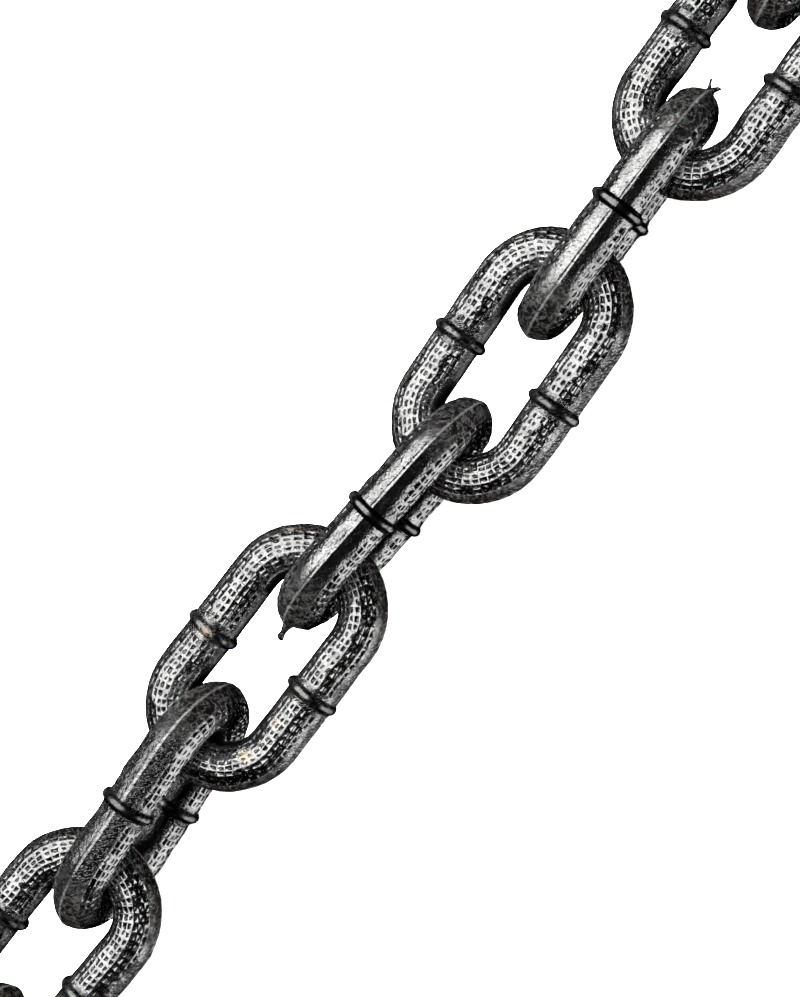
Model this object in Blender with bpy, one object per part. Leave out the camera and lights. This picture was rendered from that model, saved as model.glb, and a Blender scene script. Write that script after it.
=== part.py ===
"""A cut length of ornamental iron chain, thirteen links, as it lies unheld on a level floor.

Units are metres, +Z is up and the floor is z = 0. The chain runs along X, and link_01 is its -X end.
Every link is one casting: a round bar closed into an oval, with a bead round the middle of each
straight side. A link is modelled in its own frame, with its long axis on X, its two straight sides
at -Y and +Y and its face normal on Z. A chain lies with its links tipped alternately to the left
and to the right. Seen from the front, from -Y and above, the even links show their face and the odd
links their edge.
"""
import math

import bmesh
import bpy
from mathutils import Matrix, Vector

# Driving dimensions of one link
BAR_RADIUS = 0.005
BEND_RADIUS = 0.0122          # centreline of the bar round each end
OUTER_LENGTH = 0.060
BEAD_RADIUS = 0.006
BEAD_WIDTH = 0.0025

# The play left between two bars that hook into each other
HOOK_PLAY = 0.0005

# How the links lie: tipped halfway over, and then each in its own way. Angles are in degrees: roll
# about the run, and turn in the plane that faces the front. The offset to the back and the slack
# against the link before are in metres.
TIP = 45
LAY = [
    # roll, turn, offset, slack
    (-4, 1, 0.0, 0.0),
    (1, -1, -0.0005, 0.0),
    (-8, 3, -0.0008, 0.0),
    (2.5, -1.5, -0.0002, 0.0),
    (-7, 4, 0.0010, 0.0),
    (2, 0, 0.0020, 0.0),
    (0, -4, 0.0, 0.0005),
    (-6, 3, -0.0018, 0.0),
    (5, 1, 0.0007, 0.0),
    (-3, 2, 0.0002, 0.0010),
    (4, -1, 0.0022, 0.0005),
    (-1, 2, 0.0010, 0.0),
    (3, -1, 0.0, 0.0),
]
LINK_COUNT = len(LAY)

# Beads that were cast off the middle, by link: how far along it, on the side at -Y and at +Y
BEAD_SHIFTS = {
    4: (0.0, 0.0025),
    6: (0.0, -0.0024),
    8: (-0.0020, -0.0011),
    9: (0.0010, 0.0008),
    10: (0.0005, -0.0005),
}

# Facets: an odd number of steps round a bend puts one facet square on the link's end
BAR_SIDES = 16
BEND_STEPS = 9

# A bead's outline from its middle outwards: share of its width, share of its height
BEAD_OUTLINE = [(0.0, 1.0), (0.22, 1.0), (0.42, 0.6), (0.50, 0.0)]

# Casting gates left on two links: which end they are on, then steps outwards: length, width, thickness
BEAD_GATE = [
    (0.0009, 0.0020, 0.0019),
    (0.0011, 0.0013, 0.0013),
    (0.0008, 0.0017, 0.0017),
    (0.0008, 0.0011, 0.0011),
]
FLAT_GATE = [
    (0.0009, 0.0018, 0.0016),
    (0.0016, 0.0011, 0.0030),
]
GATES = {7: (-1, BEAD_GATE), 9: (1, FLAT_GATE)}

IRON = (0.045, 0.043, 0.042, 1.0)

SMOOTH_BELOW = math.radians(40)
WELD_DISTANCE = 1e-6

APEX = OUTER_LENGTH / 2 - BAR_RADIUS
BEND_CENTRE = APEX - BEND_RADIUS

# How finely two bars are followed, and how closely the second is brought up, to hook them together
HOOK_SAMPLES = 48
HOOK_STEPS = 24


def clear_scene():
    for obj in list(bpy.data.objects):
        bpy.data.objects.remove(obj, do_unlink=True)


def iron_material(name):
    """Dark cast iron with the sheen of handled metal."""
    material = bpy.data.materials.new(name)
    material.use_nodes = True
    shader = material.node_tree.nodes["Principled BSDF"]
    shader.inputs["Base Color"].default_value = IRON
    shader.inputs["Metallic"].default_value = 1.0
    shader.inputs["Roughness"].default_value = 0.32
    return material


def side_stations():
    """Along one straight side, from its middle to the bend: distance from the middle, bar radius."""
    bead = [
        (share * BEAD_WIDTH, BAR_RADIUS + height * (BEAD_RADIUS - BAR_RADIUS))
        for share, height in BEAD_OUTLINE
    ]
    return bead + [(BEND_CENTRE, BAR_RADIUS)]


def run_along(bm, ring, y, stations):
    """Extrude a ring of edges along the straight side at y, through the stations; return its last ring."""
    for (x, radius), (next_x, next_radius) in zip(stations, stations[1:]):
        made = bmesh.ops.extrude_edge_only(bm, edges=ring)["geom"]
        verts = [g for g in made if isinstance(g, bmesh.types.BMVert)]
        ring = [
            g
            for g in made
            if isinstance(g, bmesh.types.BMEdge) and all(v in verts for v in g.verts)
        ]
        bmesh.ops.translate(bm, verts=verts, vec=(next_x - x, 0, 0))
        grow = next_radius / radius
        middle = Matrix.Translation((-next_x, -y, 0))
        bmesh.ops.scale(bm, vec=(1, grow, grow), space=middle, verts=verts)
    return ring


def shift_beads(bm, shifts):
    """Slide the bead on each straight side along it."""
    for side, shift in zip((-1, 1), shifts):
        bead = [v for v in bm.verts if abs(v.co.x) < BEAD_WIDTH and v.co.y * side > 0]
        bmesh.ops.translate(bm, verts=bead, vec=(shift, 0, 0))


def add_gate(bm, end, steps):
    """Draw the stub of a casting gate out of the facet square on one end of the link."""
    face = max(bm.faces, key=lambda f: end * f.calc_center_median().x)
    for length, width, thickness in steps:
        face = bmesh.ops.extrude_discrete_faces(bm, faces=[face])["faces"][0]
        bmesh.ops.translate(bm, verts=face.verts, vec=(end * length, 0, 0))
        centre = face.calc_center_median()
        ys = [v.co.y for v in face.verts]
        zs = [v.co.z for v in face.verts]
        size = Vector((1, width / (max(ys) - min(ys)), thickness / (max(zs) - min(zs))))
        bmesh.ops.scale(bm, vec=size, space=Matrix.Translation(-centre), verts=face.verts)


def link_mesh(name, roll, bead_shifts, gate):
    """One link: half of it, from bead to bead round one end, and the same half turned about.

    The facets are turned back by the link's roll, so that its lowest bead lies on a facet.
    """
    bm = bmesh.new()
    stations = side_stations()
    section = (
        Matrix.Translation((0, -BEND_RADIUS, 0))
        @ Matrix.Rotation(math.pi / BAR_SIDES - roll, 4, "X")
        @ Matrix.Rotation(math.radians(90), 4, "Y")
    )
    circle = bmesh.ops.create_circle(bm, segments=BAR_SIDES, radius=BEAD_RADIUS, matrix=section)
    ring = list({edge for vert in circle["verts"] for edge in vert.link_edges})
    ring = run_along(bm, ring, -BEND_RADIUS, stations)
    bent = bmesh.ops.spin(
        bm,
        geom=ring,
        cent=(BEND_CENTRE, 0, 0),
        axis=(0, 0, 1),
        angle=math.pi,
        steps=BEND_STEPS,
    )["geom_last"]
    ring = [g for g in bent if isinstance(g, bmesh.types.BMEdge)]
    run_along(bm, ring, BEND_RADIUS, stations[::-1])

    half = bm.verts[:] + bm.edges[:] + bm.faces[:]
    copied = bmesh.ops.duplicate(bm, geom=half)["geom"]
    verts = [g for g in copied if isinstance(g, bmesh.types.BMVert)]
    bmesh.ops.rotate(bm, verts=verts, cent=(0, 0, 0), matrix=Matrix.Rotation(math.pi, 3, "Z"))
    bmesh.ops.remove_doubles(bm, verts=bm.verts, dist=WELD_DISTANCE)
    bmesh.ops.recalc_face_normals(bm, faces=bm.faces)
    shift_beads(bm, bead_shifts)
    if gate:
        add_gate(bm, *gate)

    mesh = bpy.data.meshes.new(name)
    bm.to_mesh(mesh)
    bm.free()
    mesh.shade_smooth()
    mesh.set_sharp_from_angle(angle=SMOOTH_BELOW)
    return mesh


def lie(number, roll, turn):
    """How a link's frame is turned as it lies: turned in the plane facing the front, rolled and tipped."""
    if number % 2 == 0:
        return Matrix.Rotation(math.radians(TIP) + roll, 4, "X") @ Matrix.Rotation(turn, 4, "Z")
    tip = Matrix.Rotation(math.radians(180 - TIP) + roll, 4, "X")
    return tip @ Matrix.Rotation(turn, 4, "Y")


def end_bar(end):
    """Points along the bar's centreline round one end of a link, in the link's frame."""
    turns = [math.pi * (step / HOOK_SAMPLES - 0.5) for step in range(HOOK_SAMPLES + 1)]
    return [
        Vector((end * (BEND_CENTRE + BEND_RADIUS * math.cos(a)), BEND_RADIUS * math.sin(a), 0))
        for a in turns
    ]


def hook_on(parent, link, slack):
    """Slide a link along the run until its end bar hooks into the parent's, and push it back by the slack."""
    held = [parent @ point for point in end_bar(1)]
    hooked = [link @ point for point in end_bar(-1)]
    near, far = APEX, 2 * APEX
    for _ in range(HOOK_STEPS):
        pitch = (near + far) / 2
        x = parent.translation.x + pitch - link.translation.x
        apart = min((a - b - Vector((x, 0, 0))).length for a in held for b in hooked)
        if apart > 2 * BAR_RADIUS + HOOK_PLAY:
            near = pitch
        else:
            far = pitch
    return Matrix.Translation((x - slack, 0, 0)) @ link


def swing_point(link, parent):
    """Where the parent's end bar passes through the plane of this link."""
    normal = link.to_3x3() @ Vector((0, 0, 1))
    return min(
        (parent @ point for point in end_bar(1)),
        key=lambda point: abs((point - link.translation).dot(normal)),
    )


def make_chain():
    material = iron_material("iron")
    meshes, places = {}, {}
    for number, (roll, turn, offset, slack) in enumerate(LAY, start=1):
        roll, turn = math.radians(roll), math.radians(turn)
        mesh = link_mesh(f"link_{number:02d}", roll, BEAD_SHIFTS.get(number, (0, 0)), GATES.get(number))
        mesh.materials.append(material)
        turned = lie(number, roll, turn)
        on_floor = -min((turned @ v.co).z for v in mesh.vertices)
        place = Matrix.Translation((0, offset, on_floor)) @ turned
        meshes[number] = mesh
        places[number] = hook_on(places[number - 1], place, slack) if number > 1 else place

    corners = [places[n] @ v.co for n in meshes for v in meshes[n].vertices]
    middle = [(min(c[i] for c in corners) + max(c[i] for c in corners)) / 2 for i in (0, 1)]
    centring = Matrix.Translation((-middle[0], -middle[1], 0))

    parent = None
    for number, mesh in meshes.items():
        place = centring @ places[number]
        link = bpy.data.objects.new(mesh.name, mesh)
        bpy.context.scene.collection.objects.link(link)
        if parent:
            parent_place = centring @ places[number - 1]
            pivot = bpy.data.objects.new(f"swing_{number:02d}", None)
            pivot.empty_display_size = BAR_RADIUS
            bpy.context.scene.collection.objects.link(pivot)
            at = swing_point(place, parent_place)
            pivot_place = Matrix.Translation(at) @ place.to_3x3().to_4x4()
            pivot.parent = parent
            pivot.matrix_basis = parent_place.inverted() @ pivot_place
            link.parent = pivot
            link.matrix_basis = pivot_place.inverted() @ place
        else:
            link.matrix_basis = place
        parent = link


clear_scene()
make_chain()
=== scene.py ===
"""The looks of a straight length of ornamental iron chain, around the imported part's frame.

Each link is one casting: a round bar closed into an oval, with a bead round the middle of each side.
Rows of small dimples cover the two faces. Smooth bands run round the outside and the inside, and the
mould seam runs along the middle of the outer band.

A link is made as a straight bar along X, and then bent into its loop. Along the bar, X is the way along
the loop from the middle of the side at +Y. Around the bar, the angle is 0 on the outside of the loop
and a quarter turn on the face at +Z. Units are metres.
"""

import math
import random

import bmesh
import bpy
import numpy as np
from mathutils import Matrix, Vector


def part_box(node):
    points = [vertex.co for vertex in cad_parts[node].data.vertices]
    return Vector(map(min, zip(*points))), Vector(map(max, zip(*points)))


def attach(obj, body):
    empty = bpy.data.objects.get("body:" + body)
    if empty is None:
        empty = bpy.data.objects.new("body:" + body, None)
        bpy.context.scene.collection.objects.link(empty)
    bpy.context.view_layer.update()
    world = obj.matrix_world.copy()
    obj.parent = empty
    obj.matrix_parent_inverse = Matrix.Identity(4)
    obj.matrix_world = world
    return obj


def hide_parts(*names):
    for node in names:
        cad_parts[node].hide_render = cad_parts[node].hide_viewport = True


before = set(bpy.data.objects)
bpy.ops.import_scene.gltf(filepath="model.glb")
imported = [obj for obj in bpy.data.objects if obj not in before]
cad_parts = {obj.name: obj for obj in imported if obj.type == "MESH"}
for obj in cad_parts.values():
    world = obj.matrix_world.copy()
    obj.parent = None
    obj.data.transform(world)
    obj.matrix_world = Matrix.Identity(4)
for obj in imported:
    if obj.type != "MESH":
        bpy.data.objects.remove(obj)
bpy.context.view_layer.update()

# Driving dimensions of one link, as in the part
BAR_RADIUS = 0.005
BEND_RADIUS = 0.0122
OUTER_LENGTH = 0.060
BEAD_RADIUS = 0.006
BEAD_WIDTH = 0.0025
HOOK_PLAY = 0.0005

APEX = OUTER_LENGTH / 2 - BAR_RADIUS
BEND_CENTRE = APEX - BEND_RADIUS
BEND_LENGTH = math.pi * BEND_RADIUS
LOOP = 2 * BEND_LENGTH + 4 * BEND_CENTRE

# How the links lie, as in the part: angles in degrees, offset and slack in metres
TIP = 45
MIDDLE_LINK = 7
LAY = [
    # roll, turn, offset, slack
    (-4, 1, 0.0, 0.0),
    (1, -1, -0.0005, 0.0),
    (-8, 3, -0.0008, 0.0),
    (2.5, -1.5, -0.0002, 0.0),
    (-7, 4, 0.0010, 0.0),
    (2, 0, 0.0020, 0.0),
    (0, -4, 0.0, 0.0005),
    (-6, 3, -0.0018, 0.0),
    (5, 1, 0.0007, 0.0),
    (-3, 2, 0.0002, 0.0010),
    (4, -1, 0.0022, 0.0005),
    (-1, 2, 0.0010, 0.0),
    (3, -1, 0.0, 0.0),
]
HOOK_SAMPLES = 48
HOOK_STEPS = 24

# Beads that were cast off the middle, by link: how far along it, on the side at -Y and at +Y
BEAD_SHIFTS = {
    4: (0.0, 0.0025),
    6: (0.0, -0.0024),
    8: (-0.0020, -0.0011),
    9: (0.0010, 0.0008),
    10: (0.0005, -0.0005),
}

# Stubs of the casting gates left on two links: which end they are on, then sections of each stub:
# how far out from the end and to the side, in Z, they are, and their width and thickness, in Y and Z
BEAD_GATE = [
    (-0.0008, 0.0000, 0.0030, 0.0032),
    (0.0004, 0.0001, 0.0022, 0.0022),
    (0.0015, 0.0003, 0.0014, 0.0015),
    (0.0022, 0.0005, 0.0013, 0.0013),
    (0.0026, 0.0006, 0.0016, 0.0016),
    (0.0032, 0.0007, 0.0017, 0.0017),
    (0.0036, 0.0008, 0.0011, 0.0011),
]
THIN_PRONG = [
    (-0.0006, -0.0002, 0.0020, 0.0018),
    (0.0007, -0.0004, 0.0013, 0.0011),
    (0.0016, -0.0010, 0.0008, 0.0006),
    (0.0025, -0.0013, 0.0006, 0.0006),
]
WIDE_PRONG = [
    (-0.0006, 0.0002, 0.0020, 0.0020),
    (0.0006, 0.0003, 0.0014, 0.0014),
    (0.0013, 0.0007, 0.0008, 0.0014),
    (0.0020, 0.0013, 0.0006, 0.0010),
]
GATES = {7: (-1, [BEAD_GATE]), 9: (1, [THIN_PRONG, WIDE_PRONG])}
GATE_SIDES = 12

# The dimples: rows around the bar on each face, and columns along it from bead to bead
RING_SIDES = 26
DIMPLE_ROWS = 7
DIMPLE_COLUMNS = 34

# A dimple's outline: how far in from the edge of its cell, how much is cut off its corners, how far it
# is sunk, and how far out of place it may be
DIMPLE_BORDER = 0.00029
DIMPLE_CORNER = 0.00029
DIMPLE_RIM = 0.00004
DIMPLE_STRAY = 0.00010

# How much wider or narrower, how much shorter, and how slanted along the bar a dimple may be
DIMPLE_WIDER = 0.15
DIMPLE_SHORTER = 0.3
DIMPLE_SLANTS = (-0.8, -0.3)

# A dimple is a small bowl, sunk in steps from its rim: how far in, how far down
DIMPLE_BOWL = [(0.00014, 0.00014), (0.00007, 0.00002)]

# The angle that a row takes up around the bar, and how far the rows reach from the middle of a face. A
# point within a small play of that edge counts as smooth band.
ROW_TURN = math.radians(360 / RING_SIDES)
FACE_REACH = ROW_TURN * DIMPLE_ROWS / 2
FACE_PLAY = 0.01

# A bead from its middle outwards: share of its width, share of its height
BEAD_OUTLINE = [
    (0.0, 1.0),
    (0.11, 0.96),
    (0.22, 0.83),
    (0.34, 0.58),
    (0.43, 0.27),
    (0.50, 0.05),
    (0.58, 0.0),
]

# The smooth collar beside a bead, how far from the bead's middle it reaches, and the length that a
# column of dimples has between two of them
COLLAR = 0.0012
COLLAR_REACH = BEAD_WIDTH / 2 + COLLAR
COLUMN_LENGTH = (LOOP / 2 - 2 * COLLAR_REACH) / DIMPLE_COLUMNS

# The mould seam: two fine ridges on the outside. The bar is cut lengthwise at these heights from its
# middle, and a ridge is highest at the second one.
SEAM_CUTS = (0.00015, 0.00030, 0.00045)
SEAM_AT = SEAM_CUTS[1]
SEAM_REACH = 0.000225
SEAM_HEIGHT = 0.00010

# The mould's draft, by which the outer band rises towards the seam: its height, and how far it reaches
DRAFT_HEIGHT = 0.00021
DRAFT_REACH = 0.0028

# Unevenness of the castings: how many waves are added up, then the height and the waves per metre of
# the slow ones and of the quick ones
WAVES = 9
SWELL = 0.00010, 900
RIPPLE = 0.00006, 3600

# How far the rows of dimples drift off their lines, and its waves per metre. The drift along the bar
# sets in at the first distance from a bead's middle, and is full at the second.
DRIFT = 0.00009, 1500
DRIFT_STARTS, DRIFT_FULL = 0.002, 0.004

# The outer band grows dull from this share of the way to the link's tip
TIP_STARTS = 0.55

# How far the bands of the links that lie edge up are left bright, where it isn't all the way. The rest is
# painted shade.
BAND_LIT = {3: 0.7, 5: 0.6, 11: 0.8}

# Ochre deposits, by link: where they are in the link's own frame, and how far they reach. They are
# thick up to a share of their reach.
DEPOSIT_CORE = 0.3
DEPOSITS = {
    6: [
        ((-0.0026, 0.0123, 0.0050), 0.0021),
        ((-0.0082, -0.0103, 0.0047), 0.0018),
        ((-0.0175, -0.0095, 0.0047), 0.0024),
        ((0.0248, 0.0110, 0.0025), 0.0012),
    ],
    9: [((0.0199, 0.0154, -0.0010), 0.0008)],
}

SMOOTH_BELOW = math.radians(50)
WELD_DISTANCE = 1e-6
MILLIMETRES = 1000          # in a metre
FLOOR_REACH = 4

# Camera: the photograph's, from its angle. Distances are in metres, the view's size in its own pixels.
VIEW_WIDTH, VIEW_HEIGHT = 800, 997
ELEVATION = math.radians(34.5)
YAW = math.radians(-7.0)
SPIN = math.radians(56.3)
DISTANCE = 0.516
PIXELS_PER_METRE = 4956
AIM_HEIGHT = 0.0147
AIM_PIXEL = (385.0, 513.9)
SENSOR = 0.036
CLIP_START = 0.05


def smoothstep(low, high, values):
    share = np.clip((values - low) / (high - low), 0, 1)
    return share * share * (3 - 2 * share)


def bend(points):
    """Bend points of the straight bar into the link's loop."""
    along = np.mod(points[:, 0], LOOP)
    half = np.floor(along / (LOOP / 2))
    rest = along - half * LOOP / 2
    turn = np.clip((rest - BEND_CENTRE) / BEND_RADIUS, 0, math.pi)
    onwards = rest - BEND_CENTRE - turn * BEND_RADIUS
    outwards = BEND_RADIUS + points[:, 1]
    x = BEND_CENTRE + onwards * np.cos(turn) + outwards * np.sin(turn)
    y = outwards * np.cos(turn) - onwards * np.sin(turn)
    back = 1 - 2 * half
    return np.stack([x * back, y * back, points[:, 2]], axis=1)


def stations():
    """Where the straight bar has its rings of edges, from one bead's middle round to the same again."""
    bead = [share * BEAD_WIDTH for share, _ in BEAD_OUTLINE] + [COLLAR_REACH]
    dimpled = [COLLAR_REACH + COLUMN_LENGTH * column for column in range(1, DIMPLE_COLUMNS)]
    half = bead + dimpled + [LOOP / 2 - x for x in reversed(bead[1:])]
    return half + [x + LOOP / 2 for x in half] + [LOOP]


def distance_from_bead(along):
    """How far along the bar the middle of the nearest bead is."""
    past = np.mod(along, LOOP / 2)
    return np.minimum(past, LOOP / 2 - past)


def around_of(point):
    return math.atan2(point.z, point.y)


def on_a_face(cell):
    """Whether a cell of the bar is in the dimpled rows, and not by a bead."""
    centre = cell.calc_center_median()
    from_face = abs(abs(around_of(centre)) - math.pi / 2)
    return from_face < FACE_REACH and distance_from_bead(centre.x) > COLLAR_REACH


def column_and_row(cell):
    centre = cell.calc_center_median()
    return centre.x // COLUMN_LENGTH, around_of(centre) // ROW_TURN


def straight_bar():
    """The bar before its dimples are pressed, with each dimple's outline already drawn as an octagon."""
    bm = bmesh.new()
    turn = Matrix.Rotation(math.radians(90), 4, "Y")
    circle = bmesh.ops.create_circle(bm, segments=RING_SIDES, radius=BAR_RADIUS, matrix=turn)
    ring = list({edge for vert in circle["verts"] for edge in vert.link_edges})
    places = stations()
    for x, next_x in zip(places, places[1:]):
        made = bmesh.ops.extrude_edge_only(bm, edges=ring)["geom"]
        verts = [g for g in made if isinstance(g, bmesh.types.BMVert)]
        ring = [
            g
            for g in made
            if isinstance(g, bmesh.types.BMEdge) and all(v in verts for v in g.verts)
        ]
        bmesh.ops.translate(bm, verts=verts, vec=(next_x - x, 0, 0))

    for height in sorted(SEAM_CUTS + tuple(-cut for cut in SEAM_CUTS)):
        outside = [f for f in bm.faces if f.calc_center_median().y > BAR_RADIUS / 2]
        geom = list({g for f in outside for g in (f, *f.edges, *f.verts)})
        bmesh.ops.bisect_plane(bm, geom=geom, plane_co=(0, 0, height), plane_no=(0, 0, 1))

    cells = [face for face in bm.faces if on_a_face(face)]
    bmesh.ops.inset_individual(bm, faces=cells, thickness=DIMPLE_BORDER, use_even_offset=True)
    corners = list({vert for face in cells for vert in face.verts})
    bmesh.ops.bevel(
        bm,
        geom=corners,
        offset=DIMPLE_CORNER,
        affect="VERTICES",
        segments=1,
        profile=0.5,
        material=-1,
    )
    bmesh.ops.recalc_face_normals(bm, faces=bm.faces)
    return bm


def press_dimples(bm, chance):
    """Sink the octagons, each a little out of place and askew.

    They are taken by column and row, because the mesh holds them in another order at each run.
    """
    pit = bm.verts.layers.float.new("pit")
    octagons = sorted((face for face in bm.faces if len(face.verts) == 8), key=column_and_row)
    for face in octagons:
        centre = face.calc_center_median()
        stray = Vector((chance.uniform(-1, 1), chance.uniform(-1, 1), chance.uniform(-1, 1))) * DIMPLE_STRAY
        across = face.normal.cross(Vector((1, 0, 0)))
        wider = chance.uniform(-DIMPLE_WIDER, DIMPLE_WIDER)
        longer = chance.uniform(-DIMPLE_SHORTER, 0.0)
        slant = chance.uniform(*DIMPLE_SLANTS)
        for vert in face.verts:
            away = vert.co - centre
            out = away.dot(across)
            away += across * out * wider
            away.x += away.x * longer + out * slant
            vert.co = centre + away + stray - face.normal * DIMPLE_RIM
    for step, (inwards, down) in enumerate(DIMPLE_BOWL, start=1):
        bmesh.ops.inset_individual(bm, faces=octagons, thickness=inwards, depth=-down)
        for face in octagons:
            for vert in face.verts:
                vert[pit] = step / len(DIMPLE_BOWL)


def uneven(points, chance, height, rate):
    """Unevenness of a casting: a sum of a few waves in random directions."""
    total = np.zeros(len(points))
    for _ in range(WAVES):
        wave = np.array([chance.uniform(-1, 1) for _ in range(3)]) * rate
        total += np.sin(points @ wave + chance.uniform(0, 2 * math.pi))
    return height * total / math.sqrt(WAVES)


def shift_beads(number, along):
    """Slide the beads that were cast off the middle, and the bar beside them along with them."""
    shifts = BEAD_SHIFTS.get(number, (0, 0))
    for middle, shift in ((0, shifts[1]), (LOOP / 2, -shifts[0])):
        off = np.abs(np.mod(along - middle + LOOP / 2, LOOP) - LOOP / 2)
        along = along + shift * np.clip(1 - off / (LOOP / 4), 0, 1)
    return along


def deposits_on(number, points):
    """How thick the ochre deposits are, from 0 to 1."""
    deposit = np.zeros(len(points))
    for place, reach in DEPOSITS.get(number, []):
        off = np.linalg.norm(points - np.array(place), axis=1)
        deposit = np.maximum(deposit, 1 - smoothstep(DEPOSIT_CORE * reach, reach, off))
    return deposit


def bead_height(from_bead):
    """How high a bead stands at a distance from its middle, from 0 to 1."""
    widths = [share * BEAD_WIDTH for share, _ in BEAD_OUTLINE]
    heights = [share for _, share in BEAD_OUTLINE]
    return np.interp(from_bead, widths, heights, right=0)


def seam_height(around, radius):
    """How high the mould seam and its draft stand on the outside of the bar."""
    outside = np.abs(around) < math.pi / 2
    from_seam = np.where(outside, np.abs(radius * np.sin(around)), BAR_RADIUS)
    seam = 1 - smoothstep(0, SEAM_REACH, np.abs(from_seam - SEAM_AT))
    rise = np.clip(1 - np.abs(around) * BAR_RADIUS / DRAFT_REACH, 0, 1) ** 2
    return seam * SEAM_HEIGHT + rise * DRAFT_HEIGHT


def cast_link(number, points, chance):
    """Shape the straight bar's points and bend them into a link; return also what the finish reads."""
    along = points[:, 0]
    around = np.arctan2(points[:, 2], points[:, 1])
    from_bead = distance_from_bead(along)
    at_bead = from_bead < COLLAR_REACH
    on_band = np.abs(np.abs(around) - math.pi / 2) > FACE_REACH - FACE_PLAY

    bead = bead_height(from_bead)
    radius = np.where(at_bead | on_band, BAR_RADIUS, np.hypot(points[:, 1], points[:, 2]))
    radius += bead * (BEAD_RADIUS - BAR_RADIUS)
    radius += seam_height(around, radius) * (1 - bead)

    along = shift_beads(number, along)
    drifts = smoothstep(DRIFT_STARTS, DRIFT_FULL, from_bead)
    along = along + (1 - on_band) * uneven(points, chance, *DRIFT) * drifts
    turned = around + (1 - on_band) * uneven(points, chance, *DRIFT) / BAR_RADIUS
    bent = bend(np.stack([along, radius * np.cos(turned), radius * np.sin(turned)], axis=1))
    spine = bend(np.stack([along, 0 * along, 0 * along], axis=1))
    outwards = (bent - spine) / radius[:, None]
    waves = uneven(bent, chance, *SWELL) + uneven(bent, chance, *RIPPLE) * (1 - on_band)
    bent += outwards * (waves * (1 - bead))[:, None]

    # Painted shade on the bands: all of it on the links that lie on their face, a share on some that lie
    # edge up
    band_lit = BAND_LIT.get(number, 1.0) if number % 2 else 0.0
    masks = {
        "band_lit": np.full(len(along), band_lit),
        "deposit": deposits_on(number, bent),
        "along": along,
        "around": around,
        "bead": bead,
        "band": np.where(on_band | at_bead, 1.0, 0.0),
        "tip": smoothstep(TIP_STARTS * APEX, APEX, np.abs(bent[:, 0])),
    }
    return bent, masks


def link_mesh(number, bar, chance):
    """One link in its own frame, bent from its own copy of the straight bar."""
    bm = bar.copy()
    press_dimples(bm, chance)
    mesh = bpy.data.meshes.new(f"link_{number:02d}")
    bm.to_mesh(mesh)
    bm.free()

    points = np.empty(len(mesh.vertices) * 3)
    mesh.vertices.foreach_get("co", points)
    bent, masks = cast_link(number, points.reshape(-1, 3), chance)
    mesh.vertices.foreach_set("co", bent.ravel())
    for name, values in masks.items():
        layer = mesh.attributes.new(name, "FLOAT", "POINT")
        layer.data.foreach_set("value", values.astype(np.float32))

    bm = bmesh.new()
    bm.from_mesh(mesh)
    bmesh.ops.remove_doubles(bm, verts=bm.verts, dist=WELD_DISTANCE)
    if number in GATES:
        add_gate(bm, *GATES[number])
    bmesh.ops.recalc_face_normals(bm, faces=bm.faces)
    bm.to_mesh(mesh)
    bm.free()
    mesh.shade_smooth()
    mesh.set_sharp_from_angle(angle=SMOOTH_BELOW)
    return mesh


def add_gate(bm, end, stubs):
    """The stubs of a casting gate on one end of the link, each drawn out through its sections.

    A stub starts as a circle one metre across, which is squeezed to its first section. It is marked as
    dull band off the seam, for the finish.
    """
    old = set(bm.verts)
    for sections in stubs:
        out, side, width, thickness = sections[0]
        root = Matrix.Translation((end * (OUTER_LENGTH / 2 + out), 0, side))
        turn = Matrix.Rotation(end * math.radians(90), 4, "Y")
        circle = bmesh.ops.create_circle(
            bm, segments=GATE_SIDES, radius=0.5, matrix=root @ turn, cap_ends=True
        )
        face = circle["verts"][0].link_faces[0]
        middle = Matrix.Translation(-face.calc_center_median())
        bmesh.ops.scale(bm, vec=(1, width, thickness), space=middle, verts=face.verts)
        for next_out, next_side, next_width, next_thickness in sections[1:]:
            made = bmesh.ops.extrude_face_region(bm, geom=[face])["geom"]
            bmesh.ops.delete(bm, geom=[face], context="FACES_ONLY")
            face = next(g for g in made if isinstance(g, bmesh.types.BMFace))
            step = (end * (next_out - out), 0, next_side - side)
            bmesh.ops.translate(bm, verts=face.verts, vec=step)
            size = (1, next_width / width, next_thickness / thickness)
            middle = Matrix.Translation(-face.calc_center_median())
            bmesh.ops.scale(bm, vec=size, space=middle, verts=face.verts)
            out, side, width, thickness = next_out, next_side, next_width, next_thickness
    new = set(bm.verts) - old
    for name in ("band", "tip", "around"):
        layer = bm.verts.layers.float[name]
        for vert in new:
            vert[layer] = 1.0


def lie(number, roll, turn):
    """How a link's frame is turned as it lies: turned in the plane facing the front, rolled and tipped."""
    if number % 2 == 0:
        return Matrix.Rotation(math.radians(TIP) + roll, 4, "X") @ Matrix.Rotation(turn, 4, "Z")
    tip = Matrix.Rotation(math.radians(180 - TIP) + roll, 4, "X")
    return tip @ Matrix.Rotation(turn, 4, "Y")


def end_bar(end):
    """Points along the bar's centreline round one end of a link, in the link's frame."""
    turns = [math.pi * (step / HOOK_SAMPLES - 0.5) for step in range(HOOK_SAMPLES + 1)]
    return [
        Vector((end * (BEND_CENTRE + BEND_RADIUS * math.cos(a)), BEND_RADIUS * math.sin(a), 0))
        for a in turns
    ]


def hook_on(parent, link, slack):
    """Slide a link along the run until its end bar hooks into the parent's, and back by the slack."""
    held = [parent @ point for point in end_bar(1)]
    hooked = [link @ point for point in end_bar(-1)]
    near, far = APEX, 2 * APEX
    for _ in range(HOOK_STEPS):
        pitch = (near + far) / 2
        x = parent.translation.x + pitch - link.translation.x
        apart = min((a - b - Vector((x, 0, 0))).length for a in held for b in hooked)
        if apart > 2 * BAR_RADIUS + HOOK_PLAY:
            near = pitch
        else:
            far = pitch
    return Matrix.Translation((x - slack, 0, 0)) @ link


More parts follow.
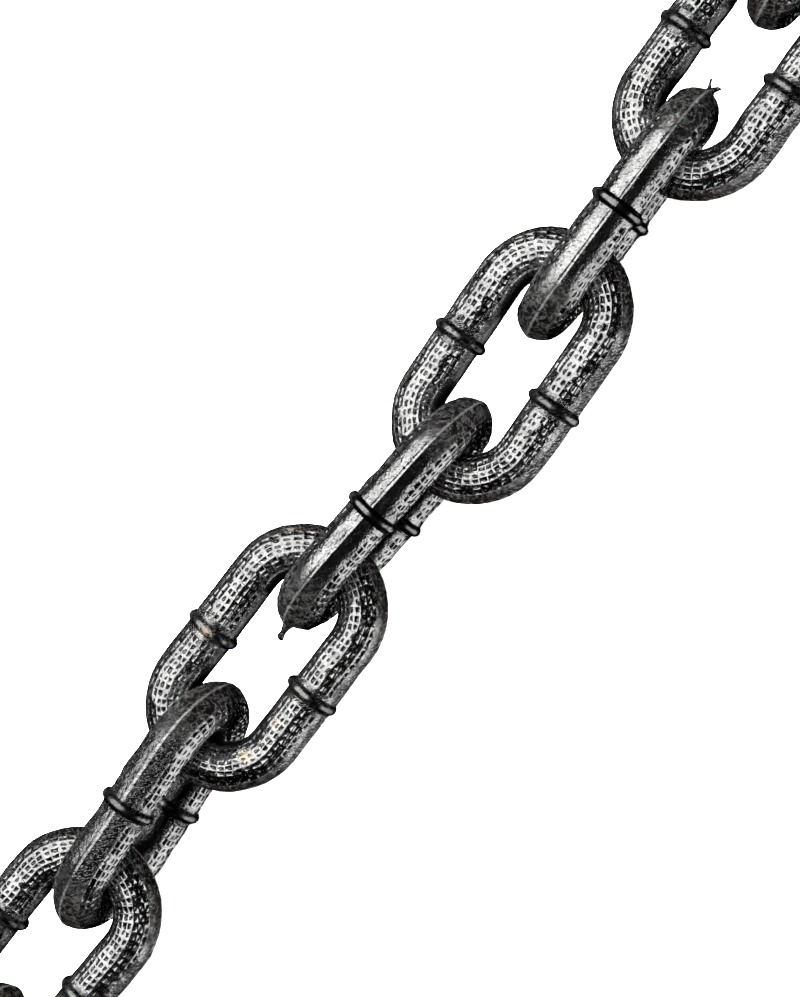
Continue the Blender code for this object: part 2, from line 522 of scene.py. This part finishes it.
def make_links():
    """Make every link and lay it where its node is; return the middle link's place, for the camera."""
    bar = straight_bar()
    meshes, places = {}, {}
    for number, (roll, turn, offset, slack) in enumerate(LAY, start=1):
        turned = lie(number, math.radians(roll), math.radians(turn))
        mesh = link_mesh(number, bar, random.Random(number))
        low = min((turned @ v.co).z for v in mesh.vertices)
        place = Matrix.Translation((0, offset, -low)) @ turned
        if number > 1:
            place = hook_on(places[number - 1], place, slack)
        meshes[number], places[number] = mesh, place
    bar.free()

    finish = iron_finish()
    node_low, node_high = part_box("link_01")
    corners = np.array([places[1] @ v.co for v in meshes[1].vertices])
    middle = Vector((corners.min(axis=0) + corners.max(axis=0)) / 2)
    start = (node_low + node_high) / 2 - middle
    start = Matrix.Translation((start.x, start.y, 0))
    for number, mesh in meshes.items():
        mesh.transform(start @ places[number])
        mesh.materials.append(finish)
        node = f"link_{number:02d}"
        link = bpy.data.objects.new(f"cast_{node}", mesh)
        bpy.context.scene.collection.objects.link(link)
        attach(link, node)
        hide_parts(node)
    return start @ places[MIDDLE_LINK]


class Wire:
    """An output of a material's node. Arithmetic on wires adds Math nodes.

    A wire without a socket only makes nodes.
    """

    def __init__(self, tree, socket=None):
        self.tree = tree
        self.socket = socket

    def node(self, kind, settings=None, inputs=None, output=0):
        """Add a node: its settings first, then the values or wires of its sockets."""
        node = self.tree.nodes.new(kind)
        for name, value in (settings or {}).items():
            setattr(node, name, value)
        for name, value in (inputs or {}).items():
            if isinstance(value, Wire):
                self.tree.links.new(value.socket, node.inputs[name])
            else:
                node.inputs[name].default_value = value
        return Wire(self.tree, node.outputs[output])

    def attribute(self, name):
        return self.node("ShaderNodeAttribute", {"attribute_name": name}, output="Fac")

    def mix(self, factor, a, b):
        """Blend two colours."""
        return self.node("ShaderNodeMix", {"data_type": "RGBA"}, {0: factor, 6: a, 7: b}, output=2)

    def between(self, low, high):
        """0 below low, 1 above high."""
        return self.node(
            "ShaderNodeMapRange",
            {"interpolation_type": "SMOOTHSTEP"},
            {"Value": self, "From Min": low, "From Max": high},
        )

    def maths(self, operation, *values):
        return self.node("ShaderNodeMath", {"operation": operation}, dict(enumerate(values)))

    def __add__(self, other):
        return self.maths("ADD", self, other)

    def __sub__(self, other):
        return self.maths("SUBTRACT", self, other)

    def __mul__(self, other):
        return self.maths("MULTIPLY", self, other)

    def __rsub__(self, other):
        return self.maths("SUBTRACT", other, self)

    def __abs__(self):
        return self.maths("ABSOLUTE", self)

    __radd__ = __add__
    __rmul__ = __mul__


def iron_finish():
    """Dark, glossy finish on cast iron, rubbed to silver on its high spots, with painted shade on the bands
    of the links that lie on their face.

    Masks and patterns go from 0 to 1.
    """
    material = bpy.data.materials.new("rubbed_dark_iron")
    material.use_nodes = True
    tree = material.node_tree
    shader = tree.nodes["Principled BSDF"]
    make = Wire(tree)

    def noise(vector, scale, detail, roughness=0.6):
        return make.node(
            "ShaderNodeTexNoise",
            inputs={"Vector": vector, "Scale": scale, "Detail": detail, "Roughness": roughness},
        )

    # Where a point is. Along and arc, its place along and around the bar, are in millimetres.
    pit = make.attribute("pit")
    bead = make.attribute("bead")
    band = make.attribute("band")
    tip = make.attribute("tip")
    band_lit = make.attribute("band_lit")
    along = make.attribute("along") * MILLIMETRES
    around = make.attribute("around")
    arc = around * (BAR_RADIUS * MILLIMETRES)
    inside = abs(around).between(2.4, 2.8)
    pit_floor = pit.between(0.6, 0.9)
    pit_wall = pit.between(0.0, 0.2) * (1 - pit_floor)
    crevice = bead.between(0.0, 0.05) * (1 - bead.between(0.6, 0.95))
    dull = band * tip
    # Painted shade on the bands of the links that lie on their face, and on part of some that lie edge up
    painted_band_shade = band * (1 - band_lit) * (1 - bead) * (1 - inside)
    seam_line = 1 - abs(arc).between(0.10, 0.36)

    # Patterns: patches and flecks of wear all over, mottling and scratches on the dull tips, slanted
    # strokes on the bands, and scales and a painted sheen along the edges on the bands with painted shade
    where = make.node("ShaderNodeTexCoord", output="Object")
    patches = noise(where, 260, 4).between(0.35, 0.65)
    flecks = noise(where, 1900, 3).between(0.40, 0.60)
    mottle = noise(where, 900, 5).between(0.35, 0.68)
    scratches = 1 - abs(noise(where, 700, 3) - 0.5).between(0.01, 0.06)
    slanted = make.node(
        "ShaderNodeCombineXYZ", inputs={"X": along * 0.5 + arc * 0.6, "Y": along * 2.2 - arc * 1.7}
    )
    streaks = noise(slanted, 1.1, 1.0, 0.5)
    strokes = streaks.between(0.61, 0.66) * band
    scales = streaks.between(0.50, 0.57)
    # A painted sheen: patches along the edges of a band where its painted shade is lifted, as a painted
    # highlight
    sheen = abs(arc).between(1.8, 2.8) * patches

    # How far the dark finish is rubbed through to the bright metal, with painted shade on some bands
    rubbed = (1 - 0.95 * pit_wall) * (1 - 0.5 * pit_floor) * (0.7 + 0.3 * patches) * (0.7 + 0.3 * flecks)
    rubbed = rubbed * (1 - 0.75 * crevice) * (1 - 0.5 * bead)
    rubbed = rubbed * (1 - dull * (0.97 - 0.15 * mottle - 0.65 * scratches) * (1 - 0.9 * seam_line))
    rubbed = rubbed * (1 - 0.8 * inside) * (1 - 0.8 * strokes)
    # Painted shade on the bands, lifted on the scales, on the seam line and for the painted sheen
    rubbed = rubbed * (1 - painted_band_shade * (0.97 - 0.9 * scales) * (1 - seam_line) * (1 - sheen))

    black = make.mix(dull * patches, (0.010, 0.010, 0.011, 1), (0.026, 0.016, 0.011, 1))
    silver = (0.51, 0.513, 0.505, 1)
    ochre = make.mix(patches, (0.13, 0.048, 0.009, 1), (0.11, 0.09, 0.014, 1))
    stained = make.attribute("deposit") * flecks * 0.8
    colour = make.mix(stained, make.mix(rubbed, black, silver), ochre)
    roughness = 0.14 + 0.05 * band + 0.06 * (1 - patches) + 0.28 * dull + 0.3 * stained
    clouded = (
        0.0015 * (1 - band)
        + dull * (0.035 * scratches + 0.04 * seam_line)
        + 0.025 * painted_band_shade * scales
    )
    tree.links.new(colour.socket, shader.inputs["Base Color"])
    tree.links.new(roughness.socket, shader.inputs["Roughness"])
    tree.links.new((1 - 0.6 * stained - clouded).socket, shader.inputs["Metallic"])

    grain = (noise(where, 1500, 2) * 0.4 + noise(where, 560, 2)) * (0.3 + 0.7 * band) * (1 - 0.8 * bead)
    height = grain + scales * painted_band_shade * 0.8
    bump = make.node("ShaderNodeBump", inputs={"Strength": 0.8, "Distance": 0.0003, "Height": height})
    tree.links.new(bump.socket, shader.inputs["Normal"])
    return material


def make_floor():
    """A white floor. The metal doesn't mirror it, and the panel below it shines through."""
    bm = bmesh.new()
    bmesh.ops.create_grid(bm, x_segments=1, y_segments=1, size=FLOOR_REACH)
    mesh = bpy.data.meshes.new("floor")
    bm.to_mesh(mesh)
    bm.free()
    floor = bpy.data.objects.new("floor", mesh)
    bpy.context.scene.collection.objects.link(floor)
    material = bpy.data.materials.new("white_floor")
    material.use_nodes = True
    shader = material.node_tree.nodes["Principled BSDF"]
    shader.inputs["Base Color"].default_value = (0.9, 0.9, 0.9, 1)
    shader.inputs["Roughness"].default_value = 0.9
    shader.inputs["Specular IOR Level"].default_value = 0.1
    mesh.materials.append(material)
    floor.visible_glossy = False
    floor.visible_shadow = False


def add_light(name, direction, distance, size, power):
    """A soft panel that faces the chain, in a direction given as degrees of elevation and azimuth."""
    elevation, azimuth = (math.radians(angle) for angle in direction)
    light = bpy.data.lights.new(name, "AREA")
    light.shape = "RECTANGLE"
    light.size, light.size_y = size
    light.energy = power
    lamp = bpy.data.objects.new(name, light)
    towards = Vector((
        math.cos(elevation) * math.sin(azimuth),
        -math.cos(elevation) * math.cos(azimuth),
        math.sin(elevation),
    ))
    back = towards.normalized()
    across = (Vector((1, 0, 0)) - back * back.x).normalized()
    turn = Matrix((across, back.cross(across), back)).transposed().to_4x4()
    lamp.matrix_world = Matrix.Translation(back * distance) @ turn
    lamp.visible_camera = False
    bpy.context.scene.collection.objects.link(lamp)


def make_light():
    """A white world that the metal doesn't mirror, and three soft panels that it does."""
    world = bpy.data.worlds.new("white_room")
    world.use_nodes = True
    background = world.node_tree.nodes["Background"]
    background.inputs["Color"].default_value = (1, 1, 1, 1)
    background.inputs["Strength"].default_value = 12.0
    bpy.context.scene.world = world
    world.cycles_visibility.glossy = False
    add_light("overhead_softbox", direction=(77, 0), distance=1.3, size=(1.96, 1.82), power=25)
    add_light("rear_panel", direction=(14, 180), distance=1.3, size=(1.9, 0.7), power=0.9)
    add_light("low_panel", direction=(-57, 0), distance=1.0, size=(1.0, 1.25), power=6)
    bpy.context.scene.view_settings.view_transform = "Standard"


def make_camera(link_place):
    """The camera at the photograph's angle, aimed by where the middle link shows in it."""
    forward = Vector((
        math.sin(YAW) * math.cos(ELEVATION),
        math.cos(YAW) * math.cos(ELEVATION),
        -math.sin(ELEVATION),
    ))
    right = forward.cross(Vector((0, 0, 1))).normalized()
    up = right.cross(forward)
    across = right * math.cos(SPIN) - up * math.sin(SPIN)
    upright = right * math.sin(SPIN) + up * math.cos(SPIN)
    aim = Vector((link_place.translation.x, link_place.translation.y, AIM_HEIGHT))
    off_right = (VIEW_WIDTH / 2 - AIM_PIXEL[0]) / PIXELS_PER_METRE
    off_up = (AIM_PIXEL[1] - VIEW_HEIGHT / 2) / PIXELS_PER_METRE
    eye = aim - forward * DISTANCE + across * off_right + upright * off_up

    lens = bpy.data.cameras.new("camera")
    lens.sensor_fit = "VERTICAL"
    lens.sensor_height = SENSOR * MILLIMETRES
    lens.lens = PIXELS_PER_METRE * DISTANCE * lens.sensor_height / VIEW_HEIGHT
    lens.clip_start = CLIP_START
    camera = bpy.data.objects.new("camera", lens)
    turn = Matrix((across, upright, -forward)).transposed().to_4x4()
    camera.matrix_world = Matrix.Translation(eye) @ turn
    bpy.context.scene.collection.objects.link(camera)
    bpy.context.scene.camera = camera


middle_link = make_links()
make_floor()
make_light()
make_camera(middle_link)
